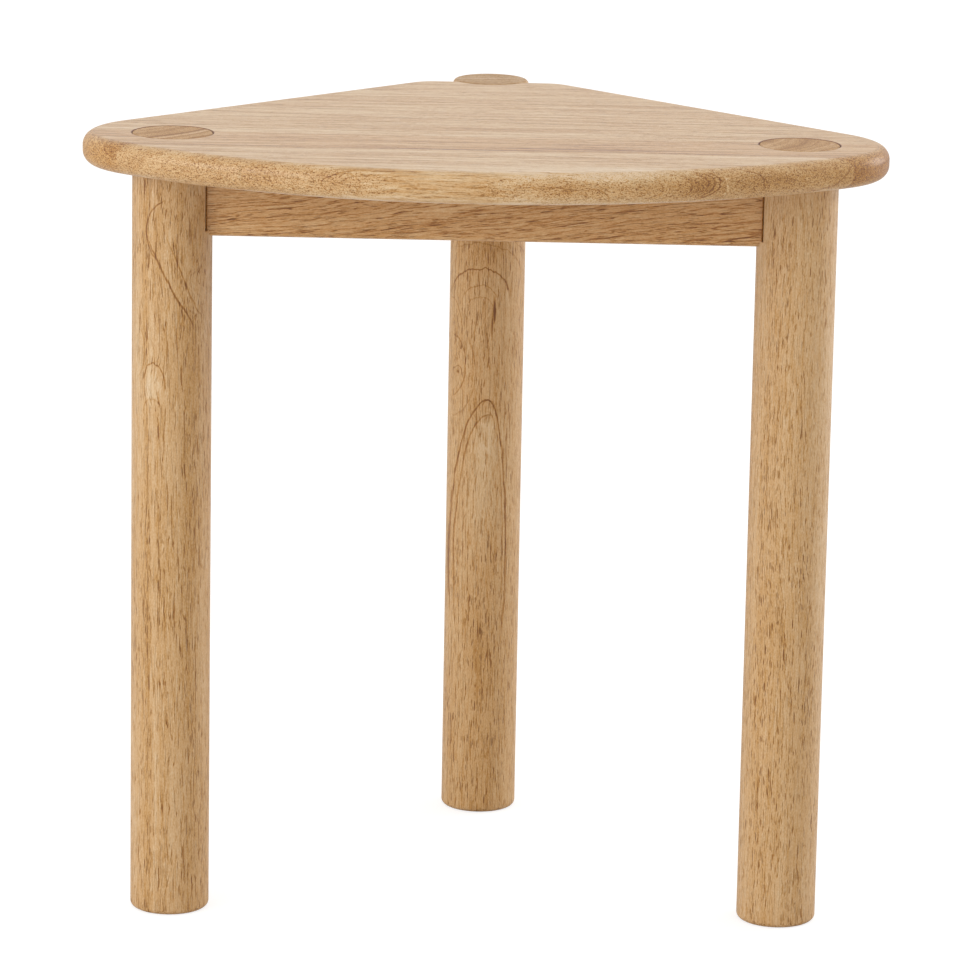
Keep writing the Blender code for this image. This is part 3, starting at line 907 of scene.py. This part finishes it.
def timber(name, origin, axes, seed, pith, look,
           bumps=(), spots=(), ovals=(), streaks=(), holes=()):
    tree = Timber(name, origin, axes, seed, pith, look)
    tree.grow(bumps)
    tree.add_bands()
    tree.add_grain()
    tree.add_threads()
    tree.add_vessels()
    tree.add_slopes()
    tree.add_figures(spots, ovals, streaks, holes)
    tree.lacquer()
    return tree.owner


def full_ovals(rows, missing):
    """Ovals from rows that leave out the axis along which they are endless, 0 for u or 1 for v."""
    ovals = []
    for *pairs, start, width, depth in rows:
        vectors = [(*pair[:missing], 0.0, *pair[missing:]) for pair in pairs]
        ovals.append((*vectors, start, width, depth))
    return ovals


# Streaks along the top: place from the front legs' line, slope, width and depth
TOP_STREAKS = (
    (-95, 0, 0.8, 0.3), (-50, 0, 4, -0.15), (-43, 0, 2.5, 0.6),
    (-36, 0, 7, 0.2), (-20, 0, 9, 0.1), (12, 0, 8, -0.12),
    (41, 0, 4, 0.2), (66, -0.12, 2.2, 0.5), (80, 0, 3, -0.2),
    (116, 0, 3, 0.18), (124, 0, 2.5, -0.25), (134, 0, 1.5, 0.25),
    (206, 0, 6, -0.15),
)
BOARD_PITHS = (
    (-10, -10), (-70, -60), (120, -45), (-40, -110),
    (95, -80), (-120, -50), (30, -130), (-60, -75),
)
BOARD_TONES = (0.38, 0.31, 0.45, 0.32, 0.34, 0.32, 0.34, 0.32)
BOARD_TURNS = {0: math.radians(-4.3)}  # of the grain, seen from above
# On the top, end grain is painted darker and warmer towards the right end, as painted shade on the
# side away from the key lamp
TOP_LOOK = {
    "sway": 1, "streaky": 2.2, "fibre": 0.5, "pebble": 0.8, "pitch": 0.9, "dash": 13,
    "pore_depth": 0.55, "thread": 0.6, "specks": 0.8, "end_depth": 0.84, "end_shade_slope": 0.002,
    "end_tinge": 0.42, "end_shade_tinge_slope": 0.0014, "veil": (-3, -0.5),
}
BOARD_LOOKS = {
    0: {"wander": 7, "tremble": 2, "band": 4, "contrast": 0.5},
    2: {"tint": (1, 0.965, 0.9), "specks": 1.2, "end_depth": 0.72, "end_tinge": 0.75},
}
BOARD_SPOTS = {
    0: (
        # Painted light: the spots at v = -1 and v = -2 paint a pale band along the upper rounding, an
        # overhead light's highlight, and the one at v = -18 paints the floor's bounce light along the
        # lower rounding
        ((-8, -1, 10), (30, 4.5, 95), -0.45), ((8, -2, 85), (30, 4, 50), -0.55),
        ((-8, -18, 10), (30, 4, 110), -0.4), ((-12, -7.5, -12), (20, 2, 40), 0.22),
        ((-9, -8.5, 46), (20, 5, 18), 0.3), ((-3, -9, -134), (20, 6, 8), 0.22),
        ((-6, -9, -88), (20, 7, 12), 0.22), ((13, -9, 117), (20, 7, 22), 0.17),
        ((20, -9, 133), (20, 6, 6), 0.25),
    ),
    1: (((-10, -9, 175), (30, 4, 25), 0.2),),
    2: (((-18, -4, -230), (5, 4, 5), 0.25),),
}
BOARD_OVALS = {  # without u
    0: (
        ((-9, 118), (9.5, 23), (0, 1), 0.2, 0.7, 0.8),
        ((-9, 116.5), (8.8, 21), (0, 1), 0.3, 0.6, 0.6),
        ((-9, 115), (8.2, 19), (0, 1), 0.4, 0.6, 0.5),
        ((-18, 65), (9, 11), (0.7, 0.7), 0.5, 0.7, 0.6),
        ((-9, 104), (8.6, 20), (0, 1), 0.4, 0.7, 0.45),
        ((-9, 90), (8.2, 17), (0, 1), 0.4, 0.7, 0.4),
        ((-10, -68), (8.5, 28), (0.5, -1), 0.4, 0.6, 0.6),
        ((-10, -83), (6.5, 10), (0.5, 1), 0.2, 0.6, 0.45),
        ((-10, -134), (7, 8), (1, 0.5), 0, 0.7, 0.25),
    ),
    1: (
        ((-12, 150), (11, 20), (1, 0.6), 0.6, 0.6, 0.55),
        ((-4, 196), (14, 27), (-0.6, 1), 0.5, 0.6, 0.55),
    ),
    2: (((-3, -229), (5.5, 5), (-1, 0), -0.2, 0.5, 0.6),),
}


def board_timber(number):
    """Timber of one board, in grain space (back, up, right) from the board's middle line."""
    low, high = BOARD_BOXES[number]
    middle = (low.y + high.y) / 2
    turn = BOARD_TURNS.get(number, 0.0)
    turned = Matrix.Rotation(turn, 3, "Z")
    axes = [turned @ Vector(axis) for axis in ((0, 1, 0), (0, 0, 1), (1, 0, 0))]
    shift = 1000 * (LEG_LINE - middle)
    half_width = 1000 * (high.y - low.y) / 2
    streaks = [
        (place + shift, slope - math.tan(turn), width, depth)
        for place, slope, width, depth in TOP_STREAKS
        if abs(place + shift) < half_width + width
    ]
    look = {**TOP_LOOK, "tone": BOARD_TONES[number], **BOARD_LOOKS.get(number, {})}
    # Leg holes, round which the top takes painted shade
    holes = [
        (1000 * (axis.y - middle), 1000 * axis.x) for axis in LEG_AXES.values()
        if low.y - LEG_RADIUS < axis.y < high.y + LEG_RADIUS
    ]
    return timber(BOARD_NAMES[number] + "_timber", (0, middle, TABLE_HEIGHT), axes,
                  number + 1, BOARD_PITHS[number], look,
                  spots=BOARD_SPOTS.get(number, ()), ovals=full_ovals(BOARD_OVALS.get(number, ()), 0),
                  streaks=streaks, holes=holes)


LEG_LOOK = {
    "tint": (1, 1.04, 1.14), "coat": 0.15,
    "end_depth": 0.42, "end_fade": -2, "end_tint": (1.05, 1.07, 1.22),
}
# Painted sheen: paler bands down the left and right sides of a front leg, as seen from the front,
# where the lacquer reflects the white room at a grazing angle
SHEEN_PAINTED_SIDES = (
    ((-22, -12, 250), (7, 14, 500), -0.1), ((22, -12, 250), (7, 14, 500), -0.1),
)
LEG_FIGURES = {  # ovals without v
    "front_left": {
        "seed": 11, "pith": (-80, 70), "look": {
            "tone": 0.51, "wander": 12,
            "pore_depth": 0.85, "thread": 0.75, "stroke": 14, "contrast": 0.65,
        },
        "bumps": (
            ((-12, -22, 344), (9, 9, 14), 3), ((14, -20, 436), (22, 22, 45), 7),
        ),
        "spots": SHEEN_PAINTED_SIDES + (
            ((-10, -22, 343), (5.5, 8, 10), -0.45), ((-20, -15, 370), (4, 8, 45), -0.15),
            ((1, -25, 415), (12, 9, 30), -0.08),
        ),
        "ovals": (
            ((-1.5, 441), (12.6, 19.6), (-1, 0.2), 0.2, 0.8, 0.7),
            ((104.4, 623.7), (150, 300), (-55.8, -57.3), 79.3, 1.1, 0.75),
            ((124.5, 602.6), (150, 300), (-92.7, -76.2), 119.34, 1, 0.5),
            ((-9.5, 345), (6.8, 13), (0.2, 1), -0.2, 0.8, 0.65),
            ((-24, 366), (8, 22), (1, 0), 0.4, 0.7, 0.35),
            ((-10.5, 322), (6.5, 14), (0, 1), 0.2, 0.7, 0.3),
        ),
    },
    "front_right": {
        "seed": 12, "pith": (-110, 60), "look": {"tone": 0.48},
        "bumps": (), "ovals": (),
        "spots": SHEEN_PAINTED_SIDES + (((-14, -20, 95), (0.8, 0.8, 4), 0.9),),
    },
    "back": {
        "seed": 13, "pith": (-20, 160),
        "look": {
            "tone": 0.42, "wander": 4, "lean": -0.03, "stroke": 16, "vein": 0.35,
            "tint": (1, 1.02, 1.06), "end_tint": (1, 1.12, 1.55), "end_depth": 0.38,
        },
        "bumps": (
            ((-4, -25, 165), (30, 30, 90), 3), ((-20, -14, 306), (8, 8, 16), 3),
        ),
        "spots": (
            ((5.4, -24.4, 349), (0.7, 2, 6), 2.4), ((4, -24.7, 338), (0.6, 2, 7), 1.1),
            ((1, -25, 284), (11, 9, 5), 0.16), ((2, -25, 262), (9, 9, 14), -0.24),
            ((-18.5, -17, 305), (1.2, 1.2, 1), 1), ((-1, -25, 103), (4, 4, 32), 0.25),
            ((0, -25, 392), (18, 18, 18), 0.22), ((0, -25, 230), (9, 9, 45), -0.22),
        ),
        "ovals": (
            ((-4, 355), (19.5, 22), (0, 1), 0.1, 0.8, 0.8),
            ((-4, 352), (12, 14), (0, 1), 0.2, 0.7, 0.4),
            ((-4, 348), (9, 10), (0, 1), 0.2, 0.7, 0.35),
            ((-4, 372), (26, 22), (0.5, 1), 0.3, 0.7, 0.3),
            ((-4, 385), (20, 18), (0.3, 1), 0.3, 0.7, 0.25),
            ((-25, 309), (12, 22), (1, 0), 0.1, 0.8, 0.55),
            ((-26, 307), (19, 34), (1, -0.3), 0.3, 0.7, 0.3),
            ((-19, 305), (3.2, 4), (0.3, 1), -0.6, 0.5, 0.6),
            ((-25, 330), (9, 26), (1, 0.6), 0.5, 0.5, 0.45),
            ((-8, 378), (34, 24), (0.9, 0.6), 0.7, 0.5, 0.35),
            ((2, 178), (25, 109), (-1, 0.8), 0.5, 0.9, 0.8),
            ((2, 176), (21.5, 101), (-1, 0.8), 0.5, 0.9, 0.6),
            ((2, 178), (13.5, 109), (1, 0.8), 0.4, 0.9, 0.8),
            ((2, 176), (11.5, 103), (1, 0.8), 0.6, 0.7, 0.4),
        ),
    },
}


def leg_timber(leg):
    figure = LEG_FIGURES[leg]
    look = {**LEG_LOOK, **figure["look"]}
    return timber(f"leg_{leg}_timber", LEG_AXES[leg], Matrix.Identity(3),
                  figure["seed"], figure["pith"], look, figure["bumps"], figure["spots"],
                  full_ovals(figure["ovals"], 1))


RAIL_GRAIN_RISE = math.radians(6)
RAIL_SEEDS = {"front": 21, "left": 22, "right": 23}
RAIL_PITH = (40, -70)
RAIL_LOOK = {
    "tone": 0.43, "rise": 0.0002, "tint": (1, 0.93, 0.84), "dash": 20, "stroke": 14,
    "pitch": 1.2, "pore_depth": 1, "thread": 0.8, "vein": 0.6, "fibre": 0.9,
}


def rail_timber(rail):
    middle, heading, _ = rail_run(rail)
    origin = (middle.x, middle.y, (RAIL_BOTTOM + RAIL_TOP) / 2)
    along = Vector((math.cos(heading), math.sin(heading), 0))
    side = Vector((-along.y, along.x, 0))
    rise = Matrix.Rotation(-RAIL_GRAIN_RISE, 3, side)
    axes = (side, rise @ Vector((0, 0, 1)), rise @ along)
    return timber(f"rail_{rail}_timber", origin, axes, RAIL_SEEDS[rail], RAIL_PITH, RAIL_LOOK)


# Bare beech: linear colours, and waves along the grain and across it
BEECH_PALE = (0.66, 0.47, 0.29, 1)
BEECH_DARK = (0.48, 0.30, 0.16, 1)
BEECH_FIBRES = (16, 0.4, 0.4)
BEECH_FLECKS = (3, 0.25, 0.6)
FIBRE_LEVELS = (0.3, 0.7)
FIBRE_DEPTH = 0.6
FLECK_LEVELS = (0.60, 0.68)
FLECK_DEPTH = 0.5
BEECH_ROUGHNESS = 0.58
BEECH_FIBRE_ROUGHNESS = 0.2
BEECH_RELIEF = (0.6, 0.0001)  # strength and depth

# Zinc plating, likewise
ZINC_PALE = (0.68, 0.68, 0.66, 1)
ZINC_DARK = (0.52, 0.53, 0.52, 1)
ZINC_MOTTLE = (1.6, 1.6, 1.6)
ZINC_SCRATCHES = (0.15, 0.15, 1.2)
ZINC_ROUGHNESS = 0.24
ZINC_MOTTLE_ROUGHNESS = 0.18
ZINC_SCRATCH_ROUGHNESS = 0.08
ZINC_RELIEF = (0.4, 0.00003)


def dowel_timber(rail):
    """Bare beech whose grain runs along a rail, with short dark flecks."""
    _, heading, _ = rail_run(rail)
    tree = Tree(bpy.data.materials.new(f"dowels_{rail}_beech"))
    turned = tree.node("VectorRotate", {
        "Vector": tree.node("TexCoord").outputs["Object"], "Angle": -heading,
    }, rotation_type="Z_AXIS").outputs["Vector"]
    place = tree.vector("MULTIPLY", turned, (1000, 1000, 1000))
    fibre = tree.noise(place, BEECH_FIBRES, 3.0, 0.6)
    fleck = tree.between(tree.noise(place, BEECH_FLECKS), *FLECK_LEVELS)
    tone = tree.between(fibre, *FIBRE_LEVELS, 0.0, FIBRE_DEPTH)
    tone = tree.scale_add(fleck, FLECK_DEPTH, tone)
    gloss = tree.scale_add(fibre, BEECH_FIBRE_ROUGHNESS, BEECH_ROUGHNESS)
    tree.surface(tree.mix(tone, BEECH_PALE, BEECH_DARK), gloss, fibre, *BEECH_RELIEF)
    return tree.owner


def screw_steel():
    """Zinc plated steel, faintly mottled and finely scratched."""
    tree = Tree(bpy.data.materials.new("screw_zinc"))
    place = tree.vector("MULTIPLY", tree.node("TexCoord").outputs["Object"], (1000, 1000, 1000))
    mottle = tree.noise(place, ZINC_MOTTLE, 3.0, 0.6)
    scratch = tree.noise(place, ZINC_SCRATCHES)
    gloss = tree.scale_add(mottle, ZINC_MOTTLE_ROUGHNESS, ZINC_ROUGHNESS)
    gloss = tree.scale_add(scratch, ZINC_SCRATCH_ROUGHNESS, gloss)
    tree.surface(tree.mix(mottle, ZINC_PALE, ZINC_DARK), gloss, scratch, *ZINC_RELIEF)
    tree.feed(tree.shader, {"Metallic": 1.0})
    return tree.owner


# Stage

WHITE = (1, 1, 1, 1)
FLOOR_SIZE = 8.0
FLOOR_GLOW = 0.72  # of the floor that the camera sees
FLOOR_PAPER = (0.40, 0.40, 0.40, 1)  # and its diffuse colour
FLOOR_BOUNCE = (0.80, 0.80, 0.80, 1)  # of the floor that lights the table
WORLD_LIGHT = 0.84
WORLD_SEEN = 1.0
LAMP_AIM = Vector((0, 0, 0.35))
LAMPS = {  # place, size and watts
    "key": ((-2.8, -2.0, 1.3), 2.0, 50.0),
    "rim": ((2.8, 1.5, 1.2), 1.6, 42.0),
}
CAMERA_PLACE = Vector((0.0340, -3.2760, 1.0356))
CAMERA_TURN = (-0.549, 13.265, -1.051)  # yaw, pitch downwards and roll, in degrees
CAMERA_LENS = 194.69
CAMERA_SENSOR = 36.0
CAMERA_REACH = 60.0


def build_floor():
    """Pale paper, brighter to the camera than to the table, and clear to a camera below."""
    bm = bmesh.new()
    bmesh.ops.create_grid(bm, x_segments=1, y_segments=1, size=FLOOR_SIZE)
    tree = Tree(bpy.data.materials.new("floor_paper"))
    tree.tree.nodes.remove(tree.shader)
    glow = tree.node("Emission", {"Color": WHITE, "Strength": FLOOR_GLOW}).outputs[0]
    paper = tree.node("BsdfDiffuse", {"Color": FLOOR_PAPER}).outputs[0]
    bright = tree.node("AddShader", {0: glow, 1: paper}).outputs[0]
    bounce = tree.node("BsdfDiffuse", {"Color": FLOOR_BOUNCE}).outputs[0]
    clear = tree.node("BsdfTransparent").outputs[0]
    looked_at = tree.node("LightPath").outputs["Is Camera Ray"]
    below = tree.times(looked_at, tree.node("NewGeometry").outputs["Backfacing"])
    shown = tree.node("MixShader", {0: looked_at, 1: bounce, 2: bright}).outputs[0]
    shown = tree.node("MixShader", {0: below, 1: shown, 2: clear}).outputs[0]
    tree.feed(tree.output, {"Surface": shown})
    floor = to_object("floor", bm, tree.owner)


def build_world():
    """White all round, a little dimmer where it lights the table."""
    world = bpy.data.worlds.new("studio")
    bpy.context.scene.world = world
    tree = Tree(world)
    path = tree.node("LightPath").outputs
    shown = tree.math("MAXIMUM", path["Is Camera Ray"], path["Is Glossy Ray"])
    shown = tree.math("MAXIMUM", shown, path["Is Transmission Ray"])
    level = tree.node("MapRange", {"Value": shown, "To Min": WORLD_LIGHT, "To Max": WORLD_SEEN})
    tree.feed(tree.shader, {"Color": WHITE, "Strength": level.outputs["Result"]})


def add_lamps():
    """Square lamps that face the table."""
    for name, (place, size, power) in LAMPS.items():
        data = bpy.data.lights.new(name, "AREA")
        data.shape = "SQUARE"
        data.size = size
        data.energy = power
        lamp = add_object(name, data)
        lamp.location = place
        aim = LAMP_AIM - Vector(place)
        lamp.rotation_euler = aim.to_track_quat("-Z", "Y").to_euler()


def add_camera():
    data = bpy.data.cameras.new("camera")
    data.sensor_fit = "HORIZONTAL"
    data.sensor_width = CAMERA_SENSOR
    data.lens = CAMERA_LENS
    data.clip_end = CAMERA_REACH
    camera = add_object("camera", data)
    yaw, pitch, roll = (math.radians(angle) for angle in CAMERA_TURN)
    turn = (Matrix.Rotation(-yaw, 4, "Z") @ Matrix.Rotation(QUARTER - pitch, 4, "X")
            @ Matrix.Rotation(-roll, 4, "Z"))
    camera.matrix_world = Matrix.Translation(CAMERA_PLACE) @ turn
    bpy.context.scene.camera = camera


def build_table():
    holes = [leg_hole(leg) for leg in LEG_AXES]
    bores = {name: screw_bore(name) for name in SCREW_NAMES}
    cutters = holes + list(bores.values())
    build_top(cutters)
    rail_cutters = {
        rail: [bores[name] for name in SCREW_NAMES if name.startswith(f"screw_{rail}_")]
        for rail in RAILS
    }
    for leg in LEG_AXES:
        leg_cutters = []
        for rail, ends in RAILS.items():
            if leg in ends:
                sockets = [dowel_socket(leg, rail, level) for level in DOWEL_BOXES]
                leg_cutters += [leg_flat(leg, rail)] + sockets
                rail_cutters[rail] += sockets
        build_leg(leg, leg_cutters)
        cutters += leg_cutters
    steel = screw_steel()
    for rail, ends in RAILS.items():
        build_rail(rail, rail_cutters[rail])
        beech = dowel_timber(rail)
        for leg in ends:
            for level in DOWEL_BOXES:
                build_dowel(leg, rail, level, beech)
    for name in SCREW_NAMES:
        build_screw(name, steel)
    for cutter in cutters:
        bpy.data.objects.remove(cutter)


build_table()
build_floor()
build_world()
add_lamps()
add_camera()
bpy.context.scene.view_settings.view_transform = "Standard"
